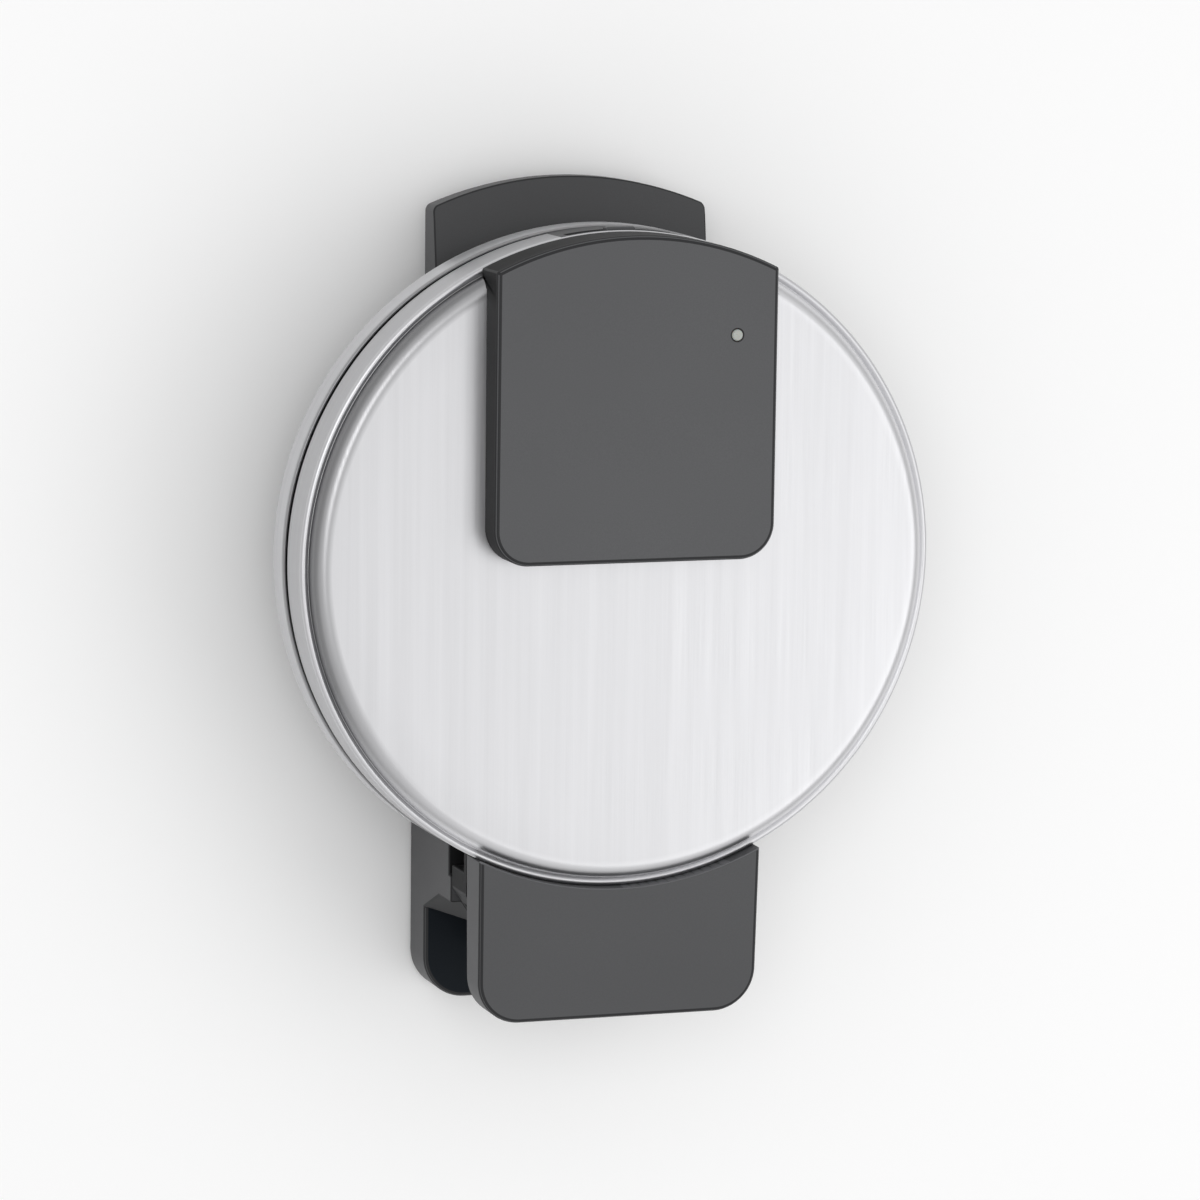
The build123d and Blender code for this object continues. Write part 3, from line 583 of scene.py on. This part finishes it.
class StudioSettings(bpy.types.PropertyGroup):
    """Light and camera."""

    sky: FloatProperty(name="Sky", description="Strength of the even light overhead", default=0.875, min=0.0)
    horizon: FloatProperty(name="Horizon", description="Strength near the floor", default=0.5, min=0.0)
    lean: FloatProperty(name="Lean", description="How much brighter the sky is on the -X side", default=0.06)
    key: power("Key", "Power of the near panel", 1.45)
    key_place: position("Key place", "Where the near panel hangs", (-0.65, 0.2, 0.95))
    key_aim: position("Key aim", "What the near panel points at", (0.0, 0.0, 0.07))
    front: power("Front", "Power of the light by the camera", 5.0)
    front_place: position("Front place", "Where the light by the camera hangs", (0.62, -0.34, 1.75))
    front_aim: position("Front aim", "What the light by the camera points at", (0.0, 0.0, 0.05))
    lamp_size: length("Lamp size", "Width of both lights", 0.9)
    floor_reach: length("Floor reach", "From the middle of the floor to each side", 12.0)
    camera_place: position("Camera", "Where the camera stands", (0.51457, -0.23632, 1.59887))
    camera_aim: position("Camera aim", "What the camera looks at", (0.00626, -0.00394, 0.0726))
    roll: FloatProperty(
        name="Roll", description="Turn about the line of sight", default=radians(0.61), subtype="ANGLE"
    )
    lens: FloatProperty(name="Lens", description="Focal length", default=164.6, unit="CAMERA")


def sizes():
    return bpy.context.scene.waffle_sizes


def colours():
    return bpy.context.scene.waffle_colours


def studio():
    return bpy.context.scene.waffle_studio


# Pieces


def lid_section(s):
    """The lid cover's outer line: hem, wall, bead, valley, slope and plateau."""
    bead, hem = s.bead_radius, s.lid_hem
    valley = lid_crest - s.valley_drop
    rise = lid_plateau - valley
    slope_foot = lid_radius - 2 * bead - 0.45 * MM
    line = arc((lid_radius - hem, lid_foot + hem), hem, -80, 0, 5)
    line += [(lid_radius, lid_foot + 6 * MM), (lid_radius, lid_crest - bead - 1 * MM)]
    line += arc((lid_radius - bead, lid_crest - bead), bead, 0, 118, 10)
    line += [(slope_foot + 0.25 * MM, valley - 0.12 * MM), (slope_foot + 0.06 * MM, valley - 0.05 * MM)]
    line += [
        (slope_foot - s.slope_run * (1 - cos(radians(a))), valley + rise * sin(radians(a)))
        for a in (4, 9, 15, 22, 30, 38, 46, 54, 62, 70, 78, 84, 90)
    ]
    return line + [(lid_radius * share, lid_plateau) for share in (0.8, 0.6, 0.4, 0.2, 0.0)]


class WAFFLE_OT_lid_cover(bpy.types.Operator):
    """Presses the lid cover: side wall, rolled bead, groove and brushed plateau"""

    bl_idname = "waffle.lid_cover"
    bl_label = "Lid cover"

    def execute(self, context):
        s = sizes()
        bm = bmesh.new()
        lathe(bm, lid_section(s), s.turns)
        cover = new_piece("lid_cover_pressing", bm, brushed_steel("lid steel", colours().steel))
        sheet = cover.modifiers.new("sheet", "SOLIDIFY")
        sheet.thickness = s.lid_sheet
        sheet.offset = -1.0
        sheet.use_even_offset = True
        apply_modifiers(cover)
        panel_low, panel_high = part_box("control_panel")
        opening_low = (panel_low.x - s.panel_gap, panel_low.y - 2 * MM, lid_foot - 1 * MM)
        opening_high = (panel_high.x + s.panel_gap, panel_low.y + 6 * MM, panel_high.z + 0.3 * MM)
        cut(cover, cutting_block("panel opening", opening_low, opening_high))
        place_piece(cover, "lid", "lid_steel", "lid_cover")
        return {"FINISHED"}


class WAFFLE_OT_band(bpy.types.Operator):
    """Rolls the steel band of the base, with its edges rounded"""

    bl_idname = "waffle.band"
    bl_label = "Base band"

    def execute(self, context):
        s = sizes()
        inner = band_radius - s.band_sheet
        middle = (inner, band_foot + 3 * MM)
        corners = [(inner, band_foot), (band_radius, band_foot), (band_radius, band_top), (inner, band_top)]
        line = rounded([middle, *corners, middle], [0.1 * MM, s.band_edge, s.band_edge, 0.1 * MM])[:-1]
        bm = bmesh.new()
        lathe(bm, line, s.turns, closed=True)
        band = new_piece("base_band_rolled", bm, brushed_steel("band steel", colours().steel, True))
        place_piece(band, "base", "band_steel", "base_band")
        return {"FINISHED"}


def seat_handle(point):
    """Fits the handle's saddle to the pressed lid: each step of the saddle has a new radius and level."""
    radius = radius_of(point)
    solid_crest = lid_plateau - 2.5 * MM
    steps = (
        (lid_radius - 7.1 * MM, lid_plateau, lid_radius - 5.4 * MM, lid_plateau + 0.02 * MM),
        (lid_radius - 3.8 * MM, solid_crest - 1.7 * MM, lid_radius - 2.9 * MM, lid_plateau - 2.2 * MM),
        (lid_radius - 2.8 * MM, solid_crest - 1.7 * MM, lid_radius - 2.25 * MM, lid_crest + 0.4 * MM),
        (lid_radius - 2.5 * MM, solid_crest + 0.3 * MM, lid_radius - 2.1 * MM, lid_crest + 0.2 * MM),
    )
    for old_radius, old_level, new_radius, new_level in steps:
        if abs(radius - old_radius) < 0.05 * MM and abs(point.z - old_level) < 0.05 * MM:
            point.y = disc_y - sqrt(max(0.0, new_radius**2 - point.x**2))
            point.z = new_level
            return
    if radius > lid_radius - 2 * MM and abs(point.z - solid_crest - 0.3 * MM) < 0.05 * MM:
        point.z = lid_crest + 0.2 * MM


def slope_wedge(point):
    """Lets the base handle's top fall evenly from the disc to its tip."""
    fall = 0.235 * max(0.0, -reach_of(point) - 88.0 * MM)
    if point.z > 19.9 * MM:
        point.z = min(24.5 * MM, 24.4 * MM - fall)


def lies_flat(middle, facing):
    return abs(facing.z) > 0.5


def in_notch(middle, facing):
    """Whether a face is in the notch over a cheek of the lid's cover."""
    return abs(middle.x) > 30 * MM and reach_of(middle) < 94.4 * MM and 47.0 * MM < middle.z < 59.3 * MM


def in_step(middle, facing):
    """Whether a face is in the step at the inner end of a base cheek."""
    return reach_of(middle) < 98.0 * MM and 43.7 * MM < middle.z < 46.0 * MM


def in_recess(middle, facing):
    """Whether a face is the rear plate's inner face."""
    return facing.z > 0.9 and 18.0 * MM < middle.z < 19.0 * MM


def on_facet(middle, facing):
    """Whether a face is a facet at the outer end of a cheek."""
    aslant = abs(facing.x) > 0.5 and facing.y > 0.25
    return aslant and reach_of(middle) > 99 * MM and 19.0 * MM < middle.z < 59.3 * MM


def on_brow(middle, facing):
    """Whether a face is the foot plate's upright wall beside the disc."""
    return beside_disc(middle, facing) and abs(facing.z) < 0.9


class WAFFLE_OT_mouldings(bpy.types.Operator):
    """Makes the grey handles and hinge covers with softened edges, their faces in lighter and darker copies
    of the grey plastic as painted light and shade
    """

    bl_idname = "waffle.mouldings"
    bl_label = "Handles and hinge covers"

    def execute(self, context):
        tone = colours().handle

        # Each grey finish scales the one grey plastic; a factor other than 1 makes a lit or shaded copy,
        # which is painted light or shade.
        def grey(name, factor, gloss=0.5):
            return moulded_plastic(name, shade(tone, factor), gloss=gloss)

        # Painted shade: a near-black copy of the grey plastic for the notch over each lid cheek and the step
        # at each base cheek.
        painted_shade = grey("shaded moulding", 0.16, 0.1)
        # Painted shade: a darker copy of the grey plastic for the slanted facets at the cheeks' outer ends.
        facet = grey("painted facet shade", 0.42, 0.2)
        # Painted shade: a darker copy of the grey plastic on the rounded edges, for the dark lines along
        # them.
        edge_painted_shade = grey("painted edge shade", 0.35, 0.2)
        # Painted shade: a dark bluish copy for the rear plate's inner face, which lies in shade between the
        # plates.
        painted_recess_tone = (tone[0] * 0.12, tone[1] * 0.16, tone[2] * 0.2)
        painted_recess_shade = moulded_plastic("recess moulding", painted_recess_tone, gloss=0.1)
        # Painted shade: the lid handle's sides are a near-black copy of its top's plastic.
        lid_handle = [
            (grey("lid handle moulding", 1.0), lies_flat),
            (grey("lid handle side painted shade", 0.14, 0.08), everywhere),
        ]
        # Painted shade: the whole base handle is a darker copy of the grey plastic, for the shade it lies in
        # beyond the disc.
        base_handle = [
            (grey("base handle top painted shade", 0.6), lies_flat),
            (grey("base handle side painted shade", 0.72), everywhere),
        ]
        # Painted light and shade: the foot plate's top is a darker copy of the grey plastic, and its brow
        # beside the disc a much lighter copy that offsets the shade there.
        lid_hinge_cover = [
            (painted_shade, in_notch),
            (grey("foot plate brow painted light", 1.9), on_brow),
            (grey("lid hinge cover painted shade", 0.83), lies_flat),
            (facet, on_facet),
            (grey("foot plate side", 1.0), everywhere),
        ]
        # Painted shade: the rear plate's top and sides are darker copies of the grey plastic.
        base_hinge_cover = [
            (painted_shade, in_step),
            (painted_recess_shade, in_recess),
            (grey("base hinge cover painted shade", 0.83), lies_flat),
            (facet, on_facet),
            (grey("rear plate side painted shade", 0.8), everywhere),
        ]
        # Painted shade: the ears, deep in the recess, are a darker copy of the grey plastic.
        hinge_ears = [(grey("hinge ears painted shade", 0.7), lies_flat), (grey("ear side painted shade", 0.7), everywhere)]
        for node, body, finishes, reshape in (
            ("lid_handle", "lid", lid_handle, seat_handle),
            ("base_handle", "base", base_handle, slope_wedge),
            ("lid_hinge_cover", "lid", lid_hinge_cover, None),
            ("base_hinge_cover", "base", base_hinge_cover, None),
            ("hinge_ears", "base", hinge_ears, None),
        ):
            piece = softened(node + "_moulding", node, finishes, sizes().edge_round, edge_painted_shade, reshape)
            place_piece(piece, body, "grey_plastic", node)
        return {"FINISHED"}


def on_circle(radius, level):
    """A test for edges of one circle round the bowl."""

    def test(middle):
        return abs(radius_of(middle) - radius) < 0.35 * MM and abs(middle.z - level) < 0.05 * MM

    return test


def pan_head_screw(name, seat, s, steel):
    """A pan-head screw with a cross recess that faces down its well."""
    head, depth, shank = s.screw_head, s.screw_depth, 1.2 * MM
    dome = [(head * out, -depth * up) for out, up in ((0.0, 1.0), (0.45, 0.98), (0.8, 0.8), (0.96, 0.45))]
    stub = [(head, 0.0), (shank, 0.0), (shank, 1.5 * MM), (0.0, 1.5 * MM)]
    bm = bmesh.new()
    lathe(bm, dome + stub, 32)
    screw = new_piece(name, bm, steel, 50.0)
    screw.data.transform(Matrix.Translation(Vector((seat.x, seat.y - disc_y, seat.z))))
    long, narrow = 1.7 * MM, 0.35 * MM
    for x, y in ((long, narrow), (narrow, long)):
        low = (seat.x - x, seat.y - y, seat.z - depth - 1 * MM)
        high = (seat.x + x, seat.y + y, seat.z - depth + 1.3 * MM)
        cut(screw, cutting_block("cross recess", low, high))
    return screw


class WAFFLE_OT_housing(bpy.types.Operator):
    """Moulds the bowl of the base and sets its four screws"""

    bl_idname = "waffle.housing"
    bl_label = "Base housing"

    def execute(self, context):
        s = sizes()
        finish = moulded_plastic("housing moulding", colours().housing, 0.55, 0.4)
        rounds = [
            (on_circle(radius * MM, level * MM), large * MM)
            for radius, level, large in ((91.0, 23.5, 9.0), (86.0, 9.6, 3.2), (78.0, 4.0, 2.5))
        ]
        bowl = softened(
            "base_housing_bowl", "base_housing", [(finish, everywhere)], s.small_round, rounds=rounds, steps=2
        )
        place_piece(bowl, "base", "housing_plastic", "base_housing")
        steel = bare_metal("screw steel", shade(colours().zinc, 0.8), 0.34)
        away = s.screw_reach / sqrt(2)
        for number, (x, y) in enumerate(((1, 1), (-1, 1), (-1, -1), (1, -1)), 1):
            seat = Vector((x * away, disc_y + y * away, s.screw_seat))
            place_piece(pan_head_screw(f"base_screw_{number}", seat, s, steel), "base", "zinc_steel")
        return {"FINISHED"}


class WAFFLE_OT_control(bpy.types.Operator):
    """Makes the browning control: panel, lever, knob and indicator"""

    bl_idname = "waffle.control"
    bl_label = "Browning control"

    def execute(self, context):
        c, s = colours(), sizes()
        panel = [(moulded_plastic("panel moulding", c.panel, 0.42, 0.2), everywhere)]
        insert = softened("control_panel_insert", "control_panel", panel, s.fine_round, steps=2)
        place_piece(insert, "lid", "panel_plastic", "control_panel")
        knob = [(moulded_plastic("knob moulding", c.handle, 0.4, 0.2), everywhere)]
        cap = softened("lever_knob_cap", "lever_knob", knob, s.knob_round)
        place_piece(cap, "lever", "knob_plastic", "lever_knob")
        frosted = [(light_guide("light guide", c.lens), everywhere)]
        guide = softened("indicator_guide", "indicator_lens", frosted, s.fine_round)
        place_piece(guide, "lid", "lens_plastic", "indicator_lens")
        paint(["control_lever"], bare_metal("lever steel", c.zinc, 0.38))
        paint(["thermostat"], bare_metal("thermostat steel", c.zinc, 0.42))
        return {"FINISHED"}


class WAFFLE_OT_plates(bpy.types.Operator):
    """Casts the cooking plates and finishes the heaters, clips and heat shields"""

    bl_idname = "waffle.plates"
    bl_label = "Cooking plates"

    def execute(self, context):
        c = colours()
        coating = cast_coating("non-stick", c.coating)
        for node, body in (("upper_grid", "lid"), ("lower_grid", "base")):
            casting = softened(node + "_casting", node, [(coating, everywhere)], sizes().plate_round, steps=2)
            place_piece(casting, body, "nonstick_casting", node)
        for part, finish, slot in (
            ("heater", bare_metal("heater tube", c.heater, 0.5), "heater_steel"),
            ("heater_clips", bare_metal("spring strip", c.zinc, 0.35), "spring_steel"),
            ("heat_shield", bare_metal("shield sheet", c.shield, 0.34), "shield_aluminium"),
        ):
            paint(["upper_" + part, "lower_" + part], finish)
        return {"FINISHED"}


class WAFFLE_OT_hinge(bpy.types.Operator):
    """Makes the shaft and the slotted bracket"""

    bl_idname = "waffle.hinge"
    bl_label = "Hinge"

    def execute(self, context):
        s = sizes()
        plated = [(bare_metal("zinc plated steel", colours().zinc, 0.36), everywhere)]
        shaft = softened("hinge_shaft_pin", "hinge_shaft", plated, s.small_round)
        place_piece(shaft, "hinge_carriage", "zinc_steel", "hinge_shaft")
        bracket = softened("hinge_bracket_plate", "lid_hinge_bracket", plated, s.bracket_round, steps=2)
        place_piece(bracket, "lid", "zinc_steel", "lid_hinge_bracket")
        return {"FINISHED"}


class WAFFLE_OT_fittings(bpy.types.Operator):
    """Makes the feet and the cord inlet, and finishes the terminal block and the fuse"""

    bl_idname = "waffle.fittings"
    bl_label = "Feet and fittings"

    def execute(self, context):
        c, s = colours(), sizes()
        rubber = [(powdery("black rubber", c.rubber), everywhere)]
        feet = softened("rubber_feet_pads", "rubber_feet", rubber, s.foot_round, steps=4)
        place_piece(feet, "base", "black_rubber", "rubber_feet")
        gland = softened("cord_gland_bush", "cord_gland", rubber, s.small_round)
        place_piece(gland, "base", "black_rubber", "cord_gland")
        paint(["terminal_block"], powdery("white ceramic", c.ceramic, 0.5))
        paint(["thermal_fuse"], bare_metal("fuse case", c.zinc, 0.4))
        return {"FINISHED"}


def lay_floor(s):
    """A plain pale floor, matt and a little uneven in tone."""
    f = new_finish("pale floor")
    tone = colours().floor
    mottle = f.noise(f.place(), 6.0, 2.0, 0.5)
    finish = f.surface(**{"Base Color": f.blend(mottle, shade(tone, 0.99), tone), "Roughness": 0.9})
    bm = bmesh.new()
    bmesh.ops.create_grid(bm, x_segments=8, y_segments=8, size=s.floor_reach)
    new_piece("floor", bm, finish)


def light_sky(s):
    """An even sky, darker near the floor."""
    world = bpy.data.worlds.new("even sky")
    bpy.context.scene.world = world
    sky = Finish(world)
    x, y, z = sky.split(sky.node("ShaderNodeTexCoord", out="Generated"))
    height = sky.remap(z, 0.02, 0.65, s.horizon, s.sky)
    side = sky.remap(x, -0.7, 0.5, 1.0 + s.lean, 1.0 - s.lean)
    even = sky.node("ShaderNodeBackground", None, Color=(1.0, 1.0, 1.0), Strength=height * side)
    sky.show(even, "ShaderNodeOutputWorld")


def hang_lamp(name, place, aim, size, energy):
    """A round soft light that hangs at a place and points at its aim."""
    light = bpy.data.lights.new(name, "AREA")
    light.shape = "DISK"
    light.size = size
    light.energy = energy
    lamp = bpy.data.objects.new(name, light)
    lamp.location = place
    lamp.rotation_mode = "QUATERNION"
    lamp.rotation_quaternion = (Vector(aim) - Vector(place)).to_track_quat("-Z", "Y")
    bpy.context.scene.collection.objects.link(lamp)


def set_camera(s):
    """Stands the camera over the lid, with the hinge at the foot of the picture."""
    place, aim = Vector(s.camera_place), Vector(s.camera_aim)
    back = (place - aim).normalized()
    right = (-back).cross(Vector((0.0, -1.0, 0.0))).normalized()
    up = right.cross(-back)
    rolled_right = right * cos(s.roll) + up * sin(s.roll)
    rolled_up = up * cos(s.roll) - right * sin(s.roll)
    turn = Matrix((rolled_right, rolled_up, back)).transposed().to_4x4()
    camera = bpy.data.objects.new("camera", bpy.data.cameras.new("camera"))
    camera.data.sensor_width = 36.0
    camera.data.lens = s.lens
    camera.matrix_world = Matrix.Translation(place) @ turn
    bpy.context.scene.collection.objects.link(camera)
    bpy.context.scene.camera = camera


class WAFFLE_OT_stage(bpy.types.Operator):
    """Lays the floor and sets the lights and the camera"""

    bl_idname = "waffle.stage"
    bl_label = "Stage"

    def execute(self, context):
        s = studio()
        lay_floor(s)
        light_sky(s)
        hang_lamp("key", s.key_place, s.key_aim, s.lamp_size, s.key)
        hang_lamp("front", s.front_place, s.front_aim, s.lamp_size, s.front)
        set_camera(s)
        context.scene.view_settings.view_transform = "Standard"
        return {"FINISHED"}


OPERATORS = (
    WAFFLE_OT_lid_cover,
    WAFFLE_OT_band,
    WAFFLE_OT_mouldings,
    WAFFLE_OT_housing,
    WAFFLE_OT_control,
    WAFFLE_OT_plates,
    WAFFLE_OT_hinge,
    WAFFLE_OT_fittings,
    WAFFLE_OT_stage,
)


class WAFFLE_PT_pieces(bpy.types.Panel):
    """Lists the pieces and their settings"""

    bl_label = "Waffle maker"
    bl_idname = "WAFFLE_PT_pieces"
    bl_space_type = "VIEW_3D"
    bl_region_type = "UI"
    bl_category = "Waffle maker"

    def draw(self, context):
        for operator in OPERATORS:
            self.layout.operator(operator.bl_idname)
        for group in (sizes(), colours(), studio()):
            box = self.layout.box()
            for name in group.__annotations__:
                box.prop(group, name)


GROUPS = (WaffleSizes, WaffleColours, StudioSettings)


def register():
    for kind in GROUPS + OPERATORS + (WAFFLE_PT_pieces,):
        bpy.utils.register_class(kind)
    bpy.types.Scene.waffle_sizes = PointerProperty(type=WaffleSizes)
    bpy.types.Scene.waffle_colours = PointerProperty(type=WaffleColours)
    bpy.types.Scene.waffle_studio = PointerProperty(type=StudioSettings)


def unregister():
    del bpy.types.Scene.waffle_studio
    del bpy.types.Scene.waffle_colours
    del bpy.types.Scene.waffle_sizes
    for kind in reversed(GROUPS + OPERATORS + (WAFFLE_PT_pieces,)):
        bpy.utils.unregister_class(kind)


def main():
    register()
    for operator in OPERATORS:
        group, name = operator.bl_idname.split(".")
        getattr(getattr(bpy.ops, group), name)()


if __name__ == "__main__":
    main()
